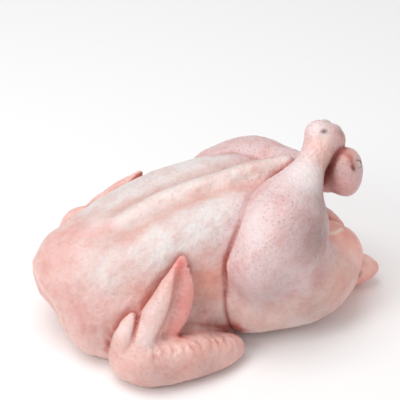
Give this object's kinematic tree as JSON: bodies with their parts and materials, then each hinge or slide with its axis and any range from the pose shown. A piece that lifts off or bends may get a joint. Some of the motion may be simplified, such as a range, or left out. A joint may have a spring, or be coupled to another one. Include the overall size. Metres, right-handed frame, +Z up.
{
  "type": "whole raw chicken",
  "caption": "Whole raw chicken lying on its back, breast up, with crossed legs, folded wings, a tail and shallow neck and vent recesses.",
  "frame": {"origin": "middle of the bounding box, on the table under the bird", "axes": "+X from the neck to the tail, +Y towards the bird's left side, +Z up from the table to the breast"},
  "size_m": [0.2765, 0.2054, 0.1514],
  "materials": {
    "skin": "moist",
    "cartilage": "moist"
  },
  "bodies": {
    "root": {"chicken": "skin", "right_hock_joint": "cartilage", "left_hock_joint": "cartilage"}
  },
  "joints": []
}
